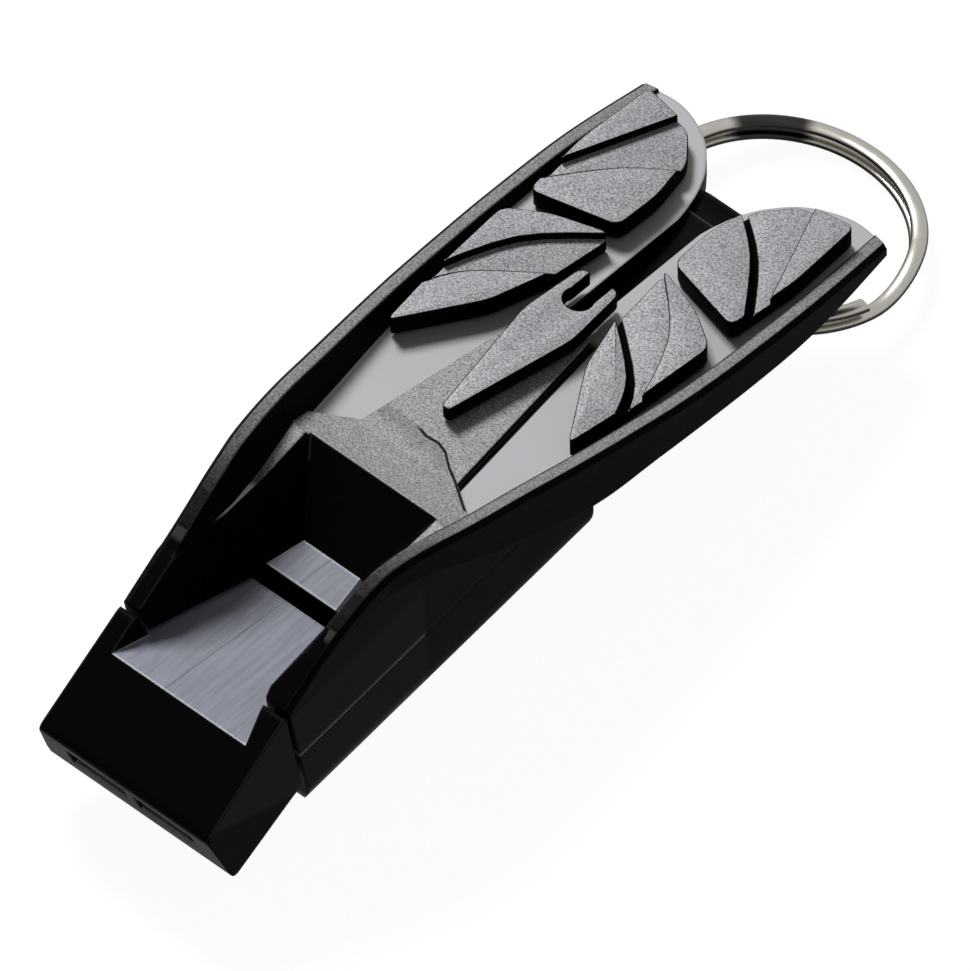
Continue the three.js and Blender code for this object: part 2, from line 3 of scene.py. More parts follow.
import json
import logging
import math
from dataclasses import dataclass
from enum import Enum
from typing import Any

import bmesh
import bpy
from mathutils import Matrix, Vector


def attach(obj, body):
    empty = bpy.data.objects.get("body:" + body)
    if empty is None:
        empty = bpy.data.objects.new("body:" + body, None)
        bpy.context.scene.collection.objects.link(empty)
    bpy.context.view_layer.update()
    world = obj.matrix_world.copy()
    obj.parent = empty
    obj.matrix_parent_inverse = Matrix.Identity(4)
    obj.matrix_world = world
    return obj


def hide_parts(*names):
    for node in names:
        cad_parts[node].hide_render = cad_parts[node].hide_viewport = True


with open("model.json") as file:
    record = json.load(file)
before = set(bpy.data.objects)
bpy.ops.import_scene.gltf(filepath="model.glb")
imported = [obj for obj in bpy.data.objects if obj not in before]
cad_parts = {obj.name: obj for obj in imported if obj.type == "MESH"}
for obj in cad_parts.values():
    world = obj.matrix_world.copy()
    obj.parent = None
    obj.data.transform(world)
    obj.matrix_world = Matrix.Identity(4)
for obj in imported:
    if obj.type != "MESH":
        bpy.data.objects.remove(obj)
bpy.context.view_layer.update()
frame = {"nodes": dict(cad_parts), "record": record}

Colour = tuple[float, float, float]
Triple = tuple[float, float, float]
Span = tuple[float, float]
Socket = bpy.types.NodeSocket

LOG = logging.getLogger("whistle")
MM = 0.001
FULL_TURN = 2.0 * math.pi
WHITE = (1.0, 1.0, 1.0, 1.0)
# Station of the record's origin, counted back from the front of the lip
BASE_STATION = 24.75
# How fast the deck falls towards the tail
DECK_FALL = 0.165
# Edges that turn less than this are shaded smooth
SMOOTH_UNDER = math.radians(34.0)
# How far a face looks up, by its normal's Z, where the masks of upward faces and of edges begin and are full
UP_RISE: Span = (0.88, 0.94)
EDGE_RISE: Span = (0.45, 0.7)
# How well the true and the rounded normal agree where an edge begins and where it is full
EDGE_TURN: Span = (0.98, 0.88)
# The grain's height from low to high, and the dark to light flecks that it turns into
FLECK_HEIGHT: Span = (0.25, 0.75)
FLECK_SHADE: Span = (0.35, 1.65)


@dataclass(frozen=True)
class ShellPlan:
    """The shell's zones in millimetres; a span runs from where its mask is 0 to where it is 1."""

    # A point on the deck: its station and its height above the underside
    deck: Span = (29.3, 14.74)
    # Heights above the deck's plane
    raised: Span = (0.08, 0.2)
    # Faces lower than this under the deck's plane, outside the valley, are painted black as the shade of a recess
    level: Span = (-0.5, -0.3)
    pit: Span = (-0.3, -0.6)
    # Height above the underside
    valley: Span = (13.8, 13.2)
    # Stations
    valley_end: Span = (22.6, 22.0)
    front: Span = (18.0, 28.0)
    pit_start: Span = (12.0, 13.0)
    foot_end: Span = (46.0, 45.0)
    # Distances from the middle plane
    rim: Span = (7.0, 7.5)
    rim_top: Span = (7.0, 8.0)
    pit_sides: Span = (6.6, 6.2)
    crease_sides: Span = (6.2, 6.4)
    # The painted shade of the rims towards the front and on their outer side
    front_painted_shade: float = 0.12
    rim_painted_shade: float = 0.74
    # The front end of the ridge's right brink, across and along the stations, and how fast the ridge narrows
    brink: Span = (4.14, 29.41)
    ridge_taper: float = 0.1156
    # The painted shadow along the ridge's foot, outwards from the brink
    foot_outer: Span = (0.4, 0.32)
    foot_inner: Span = (-0.3, -0.2)
    # Where the wavy step on the facet behind the valley bends: across, and along the stations; the step is not
    # modelled, only its shadow is painted
    bends: tuple[Span, ...] = (
        (-1.5, 31.55),
        (-0.1, 31.15),
        (0.85, 31.25),
        (1.7, 30.95),
        (2.8, 30.05),
        (4.0, 29.3),
        (6.0, 27.8),
    )
    # The painted shade of the hollow in front of the step: forwards from the step, across, and how dark it is
    # painted
    hollow_start: Span = (-0.02, 0.02)
    hollow_end: Span = (2.2, 0.2)
    hollow_sides: Span = (5.0, 1.0)
    hollow_painted_shade: float = 0.72
    # The step's painted shadow line: off the step, across at its left end, and how dark it is painted
    line: Span = (0.16, 0.08)
    line_left: Span = (-1.6, -0.4)
    step_painted_shadow: float = 0.06
    # The drawing marks on the ramps: their density across, along and up, their noise and the shades it gives
    marks_density: Triple = (3000.0, 240.0, 240.0)
    marks_noise: Span = (0.3, 0.7)
    marks_shade: Span = (0.84, 1.14)
    # The parting line: how fast it leaves the middle, its shift at the origin, its half width and its shade
    parting_slope: float = 0.082
    parting_shift: float = 0.27
    parting: Span = (0.02, 0.08)
    parting_dim: float = 0.5


PLAN = ShellPlan()


def at(x: float, station: float, z: float) -> Vector:
    """Place a point given in millimetres, with its station from the front of the lip.

    Args:
        x: Distance to the right of the middle plane.
        station: Distance back from the front of the lip.
        z: Height above the flat underside.

    Returns:
        The point in the row frame, in metres.
    """
    return Vector((x, station - BASE_STATION, z)) * MM


def along(station: float) -> float:
    """Return a station's Y in the row frame, in metres."""
    return at(0.0, station, 0.0).y


def opaque(colour: Colour) -> tuple[float, float, float, float]:
    """Return a colour with full alpha."""
    return (*colour, 1.0)


class Slot(Enum):
    """The record's material slots."""

    GLOSS_BLACK = "gloss_black"
    SATIN_BLACK = "satin_black"
    PAD_GREY = "pad_grey"
    RING_STEEL = "ring_steel"


class Wiring:
    """A node tree with short ways to add and join nodes."""

    def __init__(self, tree: bpy.types.NodeTree) -> None:
        """Keep the tree that the nodes go into."""
        self.tree = tree

    def node(self, kind: str, inputs: dict[Any, Any] | None = None, **settings: Any) -> bpy.types.Node:
        """Add a node.

        Args:
            kind: The node's Blender type.
            inputs: Values or sockets for its inputs, by name or index.
            **settings: Attributes set on the node itself.

        Returns:
            The new node.
        """
        made = self.tree.nodes.new(kind)
        for name, value in settings.items():
            setattr(made, name, value)
        for key, value in (inputs or {}).items():
            if isinstance(value, Socket):
                self.tree.links.new(value, made.inputs[key])
            else:
                made.inputs[key].default_value = value
        return made

    def group(self, tree: bpy.types.NodeTree, inputs: dict[str, Any] | None = None) -> bpy.types.bpy_prop_collection:
        """Add a shared group and return its outputs."""
        return self.node("ShaderNodeGroup", inputs, node_tree=tree).outputs

    def math(self, operation: str, a: Any, b: Any = 0.0, c: Any = 0.0, clamp: bool = False) -> Socket:
        """Add a Math node and return its output."""
        return self.node("ShaderNodeMath", {0: a, 1: b, 2: c}, operation=operation, use_clamp=clamp).outputs[0]

    def times(self, a: Any, b: Any) -> Socket:
        """Multiply two values."""
        return self.math("MULTIPLY", a, b)

    def vector(self, operation: str, a: Any, b: Any = (0.0, 0.0, 0.0)) -> bpy.types.Node:
        """Add a Vector Math node and return it."""
        return self.node("ShaderNodeVectorMath", {0: a, 1: b}, operation=operation)

    def scaled(self, vector: Any, factor: Any) -> Socket:
        """Scale a vector or colour by a factor."""
        return self.node("ShaderNodeVectorMath", {0: vector, "Scale": factor}, operation="SCALE").outputs[0]

    def split(self, vector: Any) -> bpy.types.bpy_prop_collection:
        """Split a vector and return its X, Y and Z outputs."""
        return self.node("ShaderNodeSeparateXYZ", {0: vector}).outputs

    def ramp(self, value: Any, limits: Span, to_low: float = 0.0, to_high: float = 1.0) -> Socket:
        """Add a smooth Map Range from the limits to to_low..to_high and return its output."""
        inputs = {"Value": value, 1: limits[0], 2: limits[1], 3: to_low, 4: to_high}
        return self.node("ShaderNodeMapRange", inputs, interpolation_type="SMOOTHSTEP").outputs[0]

    def ramp_mm(self, value: Any, limits: Span, to_low: float = 0.0, to_high: float = 1.0) -> Socket:
        """Add a ramp whose limits are in millimetres."""
        return self.ramp(value, (limits[0] * MM, limits[1] * MM), to_low, to_high)

    def ramp_along(self, y: Any, stations: Span, to_low: float = 0.0, to_high: float = 1.0) -> Socket:
        """Add a ramp between two stations."""
        return self.ramp(y, (along(stations[0]), along(stations[1])), to_low, to_high)

    def mix(self, share: Any, low: Any, high: Any) -> Socket:
        """Mix two values by a share."""
        return self.node("ShaderNodeMix", {"Factor": share, 2: low, 3: high}).outputs[0]

    def blend(self, share: Any, low: Any, high: Any) -> Socket:
        """Mix two colours by a share."""
        return self.node("ShaderNodeMix", {"Factor": share, 6: low, 7: high}, data_type="RGBA").outputs[2]

    def bump(self, inputs: dict[str, Any]) -> Socket:
        """Add a Bump node and return its normal."""
        return self.node("ShaderNodeBump", inputs).outputs[0]

    def surface(self, inputs: dict[str, Any]) -> None:
        """Close a material with a Principled shader that has the given inputs."""
        shader = self.node("ShaderNodeBsdfPrincipled", inputs)
        self.node("ShaderNodeOutputMaterial", {"Surface": shader.outputs[0]})


def shared_group(name: str, inputs: dict[str, float], vectors: tuple[str, ...], values: tuple[str, ...]) -> Wiring:
    """Start a shared node group.

    Args:
        name: The group's name.
        inputs: Its number inputs with their defaults.
        vectors: Its vector outputs.
        values: Its number outputs.

    Returns:
        The wiring of the new, still empty group.
    """
    tree = bpy.data.node_groups.new(name, "ShaderNodeTree")
    for label, value in inputs.items():
        tree.interface.new_socket(label, in_out="INPUT", socket_type="NodeSocketFloat").default_value = value
    for label in vectors:
        tree.interface.new_socket(label, in_out="OUTPUT", socket_type="NodeSocketVector")
    for label in values:
        tree.interface.new_socket(label, in_out="OUTPUT", socket_type="NodeSocketFloat")
    return Wiring(tree)


def moulded_grain() -> bpy.types.NodeTree:
    """Build the shared group for the spark-eroded grain and faint handling marks of moulded plastic.

    Returns:
        A group with Scale and Wear inputs, and Height and Patch outputs.
    """
    name = "Moulded Grain"
    if name in bpy.data.node_groups:
        return bpy.data.node_groups[name]
    wiring = shared_group(name, {"Scale": 4000.0, "Wear": 0.2}, (), ("Height", "Patch"))
    given = wiring.node("NodeGroupInput").outputs
    where = wiring.node("ShaderNodeTexCoord").outputs["Object"]
    fine = {"Vector": where, "Scale": given["Scale"], "Detail": 4.0, "Roughness": 0.7}
    broad = {"Vector": where, "Scale": 260.0, "Detail": 4.0, "Roughness": 0.6}
    height = wiring.node("ShaderNodeTexNoise", fine).outputs[0]
    spots = wiring.ramp(wiring.node("ShaderNodeTexNoise", broad).outputs[0], (0.35, 0.7))
    wiring.node("NodeGroupOutput", {"Height": height, "Patch": wiring.times(spots, given["Wear"])})
    return wiring.tree


def face_masks() -> bpy.types.NodeTree:
    """Build the shared group that rounds edges and tells upward faces and edges from the rest.

    Returns:
        A group with a Radius input, and Normal, Rise, Up and Edge outputs.
    """
    name = "Face Masks"
    if name in bpy.data.node_groups:
        return bpy.data.node_groups[name]
    wiring = shared_group(name, {"Radius": 0.3 * MM}, ("Normal",), ("Rise", "Up", "Edge"))
    given = wiring.node("NodeGroupInput").outputs
    rounded = wiring.node("ShaderNodeBevel", {"Radius": given["Radius"]}, samples=8).outputs[0]
    true = wiring.node("ShaderNodeNewGeometry").outputs["True Normal"]
    rise = wiring.split(true)["Z"]
    turn = wiring.vector("DOT_PRODUCT", true, rounded).outputs["Value"]
    edge = wiring.times(wiring.ramp(turn, EDGE_TURN), wiring.ramp(wiring.split(rounded)["Z"], EDGE_RISE))
    shown = {"Normal": rounded, "Rise": rise, "Up": wiring.ramp(rise, UP_RISE), "Edge": edge}
    wiring.node("NodeGroupOutput", shown)
    return wiring.tree


def ramp_streaks(wiring: Wiring, where: Socket, x: Socket, y: Socket) -> Socket:
    """Draw the marks along the ramps and the hairline parting line between the mould's halves.

    Args:
        wiring: The group that the nodes go into.
        where: The point in Object coordinates.
        x: Its X.
        y: Its Y.

    Returns:
        A factor round 1.
    """
    drawn = wiring.vector("MULTIPLY", where, PLAN.marks_density).outputs[0]
    noise = wiring.node("ShaderNodeTexNoise", {"Vector": drawn, "Scale": 1.0, "Detail": 4.0})
    marks = wiring.ramp(noise.outputs[0], PLAN.marks_noise, *PLAN.marks_shade)
    course = wiring.math("MULTIPLY_ADD", y, PLAN.parting_slope, PLAN.parting_shift * MM)
    off = wiring.math("ABSOLUTE", wiring.math("SUBTRACT", x, course))
    return wiring.times(marks, wiring.ramp_mm(off, PLAN.parting, PLAN.parting_dim))


def facet_crease_shadow(wiring: Wiring, x: Socket, y: Socket, side: Socket) -> Socket:
    """Paint the shadow line of the wavy step on the facet behind the valley, with the painted shade of the soft
    hollow in front of it.

    Args:
        wiring: The group that the nodes go into.
        x: The point's X.
        y: The point's Y.
        side: Its distance from the middle plane.

    Returns:
        A factor, 1 away from the step.
    """
    bends = [at(across, station, 0.0) for across, station in PLAN.bends]
    step: Any = bends[0].y
    for near, far in zip(bends, bends[1:]):
        stretch = {"Value": x, 1: near.x, 2: far.x, 3: 0.0, 4: far.y - near.y}
        step = wiring.math("ADD", wiring.node("ShaderNodeMapRange", stretch).outputs[0], step)
    before = wiring.math("SUBTRACT", step, y)
    hollow = wiring.times(wiring.ramp_mm(before, PLAN.hollow_start), wiring.ramp_mm(before, PLAN.hollow_end))
    fading = wiring.times(hollow, wiring.ramp_mm(x, PLAN.hollow_sides))
    near_step = wiring.ramp_mm(wiring.math("ABSOLUTE", before), PLAN.line)
    line = wiring.times(near_step, wiring.ramp_mm(x, PLAN.line_left))
    shade = wiring.ramp(fading, (0.0, 1.0), 1.0, PLAN.hollow_painted_shade)
    crease_shadowed = wiring.times(shade, wiring.ramp(line, (0.0, 1.0), 1.0, PLAN.step_painted_shadow))
    return wiring.math("MAXIMUM", crease_shadowed, wiring.ramp_mm(side, PLAN.crease_sides))


def ridge_foot_shadow(wiring: Wiring, x: Socket, y: Socket, raised: Socket) -> Socket:
    """Mask the painted shadow along the foot of the middle ridge's right side.

    Args:
        wiring: The group that the nodes go into.
        x: The point's X.
        y: The point's Y.
        raised: The mask of the parts above the deck.

    Returns:
        The mask.
    """
    brink = at(*PLAN.brink, 0.0)
    taper = wiring.times(wiring.math("SUBTRACT", y, brink.y), PLAN.ridge_taper)
    beyond = wiring.math("ADD", wiring.math("SUBTRACT", x, brink.x), taper)
    strip = wiring.times(wiring.ramp_mm(beyond, PLAN.foot_outer), wiring.ramp_mm(beyond, PLAN.foot_inner))
    low = wiring.times(strip, wiring.math("SUBTRACT", 1.0, raised))
    return wiring.times(low, wiring.ramp_along(y, PLAN.foot_end))


def shell_zones() -> bpy.types.NodeTree:
    """Build the shared group that tells the zones of the moulded shell by their place.

    Returns:
        A group with the outputs Height (above the deck's plane), Raised (parts above that plane), Valley (the
        ramps in front), Unshaded (all but the sunk slot and the ridge's foot, which are painted black as shade),
        RimShade (a painted shade along the rims towards the front and on their outer side), Streak (drawing marks
        and the parting line on the ramps), Pit (the walls round the valley), Rim (1 or -1 on the right or left rim,
        else 0) and CreaseShadow (a factor that paints the shadow of the wavy step on the facet and the shade of
        the hollow in front of it).
    """
    name = "Shell Zones"
    if name in bpy.data.node_groups:
        return bpy.data.node_groups[name]
    labels = ("Height", "Raised", "Valley", "Unshaded", "RimShade", "Streak", "Pit", "Rim", "CreaseShadow")
    wiring = shared_group(name, {}, (), labels)
    where = wiring.node("ShaderNodeTexCoord").outputs["Object"]
    place = wiring.split(where)
    x, y, z = place["X"], place["Y"], place["Z"]
    side = wiring.math("ABSOLUTE", x)
    deck = at(0.0, *PLAN.deck)
    fall = wiring.times(wiring.math("SUBTRACT", y, deck.y), DECK_FALL)
    height = wiring.math("ADD", wiring.math("SUBTRACT", z, deck.z), fall)
    raised = wiring.ramp_mm(height, PLAN.raised)
    valley = wiring.times(wiring.ramp_mm(z, PLAN.valley), wiring.ramp_along(y, PLAN.valley_end))
    # Recesses below the deck's plane and the ridge's foot are masked out here, so that they are painted black as
    # shade
    level = wiring.ramp_mm(height, PLAN.level)
    ground = wiring.math("SUBTRACT", level, ridge_foot_shadow(wiring, x, y, raised), clamp=True)
    outer = wiring.times(raised, wiring.ramp_mm(side, PLAN.rim))
    # Painted shade: the rims darken towards the front and on their outer side
    fade = wiring.ramp_along(y, PLAN.front, PLAN.front_painted_shade)
    walls = wiring.times(wiring.ramp_mm(side, PLAN.pit_sides), wiring.ramp_along(y, PLAN.pit_start))
    shown = {
        "Height": height,
        "Raised": raised,
        "Valley": valley,
        "Unshaded": wiring.math("MAXIMUM", ground, valley),
        "RimShade": wiring.times(fade, wiring.ramp_mm(side, PLAN.rim_top, 1.0, PLAN.rim_painted_shade)),
        "Streak": ramp_streaks(wiring, where, x, y),
        "Pit": wiring.times(walls, wiring.ramp_mm(height, PLAN.pit)),
        "Rim": wiring.times(outer, wiring.math("SIGN", x)),
        "CreaseShadow": facet_crease_shadow(wiring, x, y, side),
    }
    wiring.node("NodeGroupOutput", shown)
    return wiring.tree


@dataclass(frozen=True)
class Finish:
    """A material for one of the record's slots."""

    slot: Slot

    def material(self) -> bpy.types.Material:
        """Build the material on the first call.

        Returns:
            The material, the same one on every call.
        """
        name = self.slot.value + "_finish"
        if name in bpy.data.materials:
            return bpy.data.materials[name]
        made = bpy.data.materials.new(name)
        made.use_nodes = True
        made.node_tree.nodes.clear()
        self.wire(Wiring(made.node_tree))
        return made

    def wire(self, wiring: Wiring) -> None:
        """Fill the material's node tree; each finish has its own way."""
        raise NotImplementedError


@dataclass(frozen=True)
class ShellFinish(Finish):
    """Black moulded plastic whose upward faces carry a painted grey sheen: a satin deck, textured raised parts and
    drawn ramps in the valley; the sides stay near black, and recesses are painted black as shade.
    """

    # Upward faces of the deck, raised parts and ramps carry a painted grey sheen; the sides' near black is also
    # painted into recesses and the rims' inward faces as shade
    side: Colour = (0.002, 0.002, 0.0021)
    deck: Colour = (0.30, 0.298, 0.312)
    raised: Colour = (0.21, 0.209, 0.218)
    ramp: Colour = (0.15, 0.157, 0.195)
    deck_roughness: float = 0.42
    ramp_roughness: float = 0.3
    worn_roughness: float = 0.1
    deck_specular: float = 0.8
    raised_specular: float = 0.5
    ramp_specular: float = 0.5
    side_specular: float = 0.012
    edge_specular: float = 0.26
    grain_scale: float = 6400.0
    wear: float = 0.3
    deck_bump: float = 0.03
    bump: float = 0.6
    bump_mm: float = 0.04
    edge_mm: float = 0.3
    # How far a rim's face looks outwards where it gets the painted black shade and where the painted sheen
    lip: Span = (-0.3, -0.1)

    def wire(self, wiring: Wiring) -> None:
        """Fill the material's node tree.

        Args:
            wiring: The material's empty tree.
        """
        grain = wiring.group(moulded_grain(), {"Scale": self.grain_scale, "Wear": self.wear})
        masks = wiring.group(face_masks(), {"Radius": self.edge_mm * MM})
        zones = wiring.group(shell_zones())
        raised, valley = zones["Raised"], zones["Valley"]
        # A rim's faces that look inwards are painted black as shade
        outward = wiring.times(wiring.split(masks["Normal"])["X"], zones["Rim"])
        lip_unshaded = wiring.times(zones["Unshaded"], wiring.ramp(outward, self.lip))
        # Faces that look up, outside the recesses and the rims' inward faces, get the painted sheen; all else gets
        # the near black of the sides
        shown = wiring.times(masks["Up"], lip_unshaded)
        fleck = wiring.ramp(grain["Height"], FLECK_HEIGHT, *FLECK_SHADE)
        # The raised parts' painted sheen is flecked by the grain and darkened by painted shade at the rims and along
        # the facet's step
        lit = wiring.times(wiring.times(fleck, zones["RimShade"]), zones["CreaseShadow"])
        upper = wiring.blend(raised, opaque(self.deck), wiring.scaled(self.raised, lit))
        # On the ramps, edges that turn upwards get the lighter deck colour as a painted highlight
        drawn = wiring.blend(masks["Edge"], wiring.scaled(self.ramp, zones["Streak"]), opaque(self.deck))
        shine = wiring.mix(raised, self.deck_specular, wiring.times(lit, self.raised_specular))
        faces = wiring.mix(shown, self.side_specular, wiring.mix(valley, shine, self.ramp_specular))
        edges = wiring.times(wiring.math("SUBTRACT", masks["Edge"], zones["Pit"], clamp=True), self.edge_specular)
        rough = wiring.mix(valley, self.deck_roughness, self.ramp_roughness)
        bump = {
            "Strength": wiring.ramp(raised, (0.0, 1.0), self.deck_bump, self.bump),
            "Distance": self.bump_mm * MM,
            "Height": grain["Height"],
            "Normal": masks["Normal"],
        }
        wiring.surface(
            {
                "Base Color": wiring.blend(shown, opaque(self.side), wiring.blend(valley, upper, drawn)),
                "Roughness": wiring.math("MULTIPLY_ADD", grain["Patch"], self.worn_roughness, rough),
                "Specular IOR Level": wiring.math("MAXIMUM", faces, edges),
                "Normal": wiring.bump(bump),
            }
        )


@dataclass(frozen=True)
class PadFinish(Finish):
    """Grip pads of matt plastic with a coarse spark-eroded grain, a painted grey sheen on their tops and black
    flanks and grooves as painted shade.
    """

    slot: Slot = Slot.PAD_GREY
    # The tops' grey is a painted sheen; the flanks' black is also painted into the grooves as shade
    top: Colour = (0.235, 0.233, 0.245)
    flank: Colour = (0.002, 0.002, 0.0021)
    roughness: float = 0.48
    specular: float = 0.5
    flank_specular: float = 0.004
    grain_scale: float = 6400.0
    wear: float = 0.5
    bump: float = 0.7
    bump_mm: float = 0.05
    edge_mm: float = 0.08
    # How far a face looks up where the pads' tops begin and are full
    top_rise: Span = (0.935, 0.975)
    # Height above the deck in millimetres, from the grooves painted black as shade to the leaves with the painted
    # sheen
    leaf_height: Span = (1.2, 1.3)

    def wire(self, wiring: Wiring) -> None:
        """Fill the material's node tree.

        Args:
            wiring: The material's empty tree.
        """
        grain = wiring.group(moulded_grain(), {"Scale": self.grain_scale, "Wear": self.wear})
        masks = wiring.group(face_masks(), {"Radius": self.edge_mm * MM})
        above = wiring.ramp_mm(wiring.group(shell_zones())["Height"], self.leaf_height)
        up = wiring.times(wiring.ramp(masks["Rise"], self.top_rise), above)
        fleck = wiring.ramp(grain["Height"], FLECK_HEIGHT, *FLECK_SHADE)
        shade = wiring.math("SUBTRACT", fleck, grain["Patch"])
        bright = wiring.math("MULTIPLY", shade, self.specular, clamp=True)
        bump = {
            "Strength": self.bump,
            "Distance": self.bump_mm * MM,
            "Height": grain["Height"],
            "Normal": masks["Normal"],
        }
        wiring.surface(
            {
                "Base Color": wiring.blend(up, opaque(self.flank), wiring.scaled(self.top, fleck)),
                "Roughness": self.roughness,
                "Specular IOR Level": wiring.mix(up, self.flank_specular, bright),
                "Normal": wiring.bump(bump),
            }
        )


@dataclass(frozen=True)
class RingFrame:
    """Where the split ring lies: its axis, its middle and the way from its middle to the eye."""

    radius: float = 9.3
    droop: float = math.radians(12.3)
    yaw: float = math.radians(8.0)
    eye: Triple = (0.0, 57.0, 4.95)

    def axis(self) -> Vector:
        """Give the ring's axis."""
        return Vector((0.0, math.sin(self.droop), math.cos(self.droop)))

    def to_eye(self) -> Vector:
        """Give the way from the ring's middle to the eye that holds it."""
        back = Vector((0.0, math.cos(self.droop), -math.sin(self.droop)))
        return Vector((-math.sin(self.yaw), 0.0, 0.0)) - back * math.cos(self.yaw)

    def centre(self) -> Vector:
        """Give the ring's middle in metres."""
        return at(*self.eye) - self.to_eye() * self.radius * MM


@dataclass(frozen=True)
class NickelFinish(Finish):
    """Nickel plate with painted shade along the wire's edges and along one stretch of the wire."""

    slot: Slot = Slot.RING_STEEL
    ring: RingFrame = RingFrame()
    bright: Colour = (0.52, 0.5, 0.455)
    dark: Colour = (0.035, 0.033, 0.03)
    roughness: float = 0.2
    worn_roughness: float = 0.12
    grain_scale: float = 2600.0
    wear: float = 1.0
    bump: float = 0.08
    bump_mm: float = 0.03
    # Distance from the wire's middle line in millimetres, where the painted shade of the edges begins and is full
    edge: Span = (0.44, 0.56)
    # The way from the ring's middle to the stretch with painted shade, and how near to it the shade begins and is
    # full
    shade_way: Triple = (-0.69, 0.707, -0.153)
    shade_band: Span = (0.94, 0.975)

    def wire(self, wiring: Wiring) -> None:
        """Fill the material's node tree.

        Args:
            wiring: The material's empty tree.
        """
        grain = wiring.group(moulded_grain(), {"Scale": self.grain_scale, "Wear": self.wear})
        axis = self.ring.axis()
        where = wiring.node("ShaderNodeTexCoord").outputs["Object"]
        arm = wiring.vector("SUBTRACT", where, self.ring.centre()).outputs[0]
        lift = wiring.scaled(axis, wiring.vector("DOT_PRODUCT", arm, axis).outputs["Value"])
        flat = wiring.vector("SUBTRACT", arm, lift).outputs[0]
        reach = wiring.vector("LENGTH", flat).outputs["Value"]
        off = wiring.math("ABSOLUTE", wiring.math("SUBTRACT", reach, self.ring.radius * MM))
        way = wiring.vector("DOT_PRODUCT", wiring.vector("NORMALIZE", flat).outputs[0], self.shade_way)
        stretch_shade = wiring.ramp(way.outputs["Value"], self.shade_band)
        dim = wiring.math("MAXIMUM", wiring.ramp_mm(off, self.edge), stretch_shade)
        bump = {"Strength": self.bump, "Distance": self.bump_mm * MM, "Height": grain["Height"]}
        wiring.surface(
            {
                "Base Color": wiring.blend(dim, opaque(self.bright), opaque(self.dark)),
                "Metallic": 1.0,
                "Roughness": wiring.math("MULTIPLY_ADD", grain["Patch"], self.worn_roughness, self.roughness),
                "Normal": wiring.bump(bump),
            }
        )


FINISHES: dict[Slot, Finish] = {
    Slot.GLOSS_BLACK: ShellFinish(slot=Slot.GLOSS_BLACK, grain_scale=3200.0, bump=0.04),
    Slot.SATIN_BLACK: ShellFinish(slot=Slot.SATIN_BLACK),
    Slot.PAD_GREY: PadFinish(),
    Slot.RING_STEEL: NickelFinish(),
}


def dress(piece: bpy.types.Object, slot: Slot) -> None:
    """Give an object one finish in its only material slot."""
    piece.data.materials.clear()
    piece.data.materials.append(FINISHES[slot].material())


def finished(bm: bmesh.types.BMesh, name: str, slot: Slot, body: str, stands_for: str) -> bpy.types.Object:
    """Turn a modelled piece into an object that rides a body in place of a CAD node.

    Args:
        bm: The modelled piece in the row frame, freed here.
        name: The new object's name.
        slot: Its material slot.
        body: The CAD body that it moves with.
        stands_for: The CAD node that it replaces.

    Returns:
        The linked object.
    """
    bmesh.ops.recalc_face_normals(bm, faces=bm.faces)
    mesh = bpy.data.meshes.new(name)
    bm.to_mesh(mesh)
    bm.free()
    mesh.shade_smooth()
    mesh.set_sharp_from_angle(angle=SMOOTH_UNDER)
    made = bpy.data.objects.new(name, mesh)
    bpy.context.scene.collection.objects.link(made)
    dress(made, slot)
    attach(made, body)
    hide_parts(stands_for)
    LOG.info("built %s with %d faces", name, len(mesh.polygons))
    return made


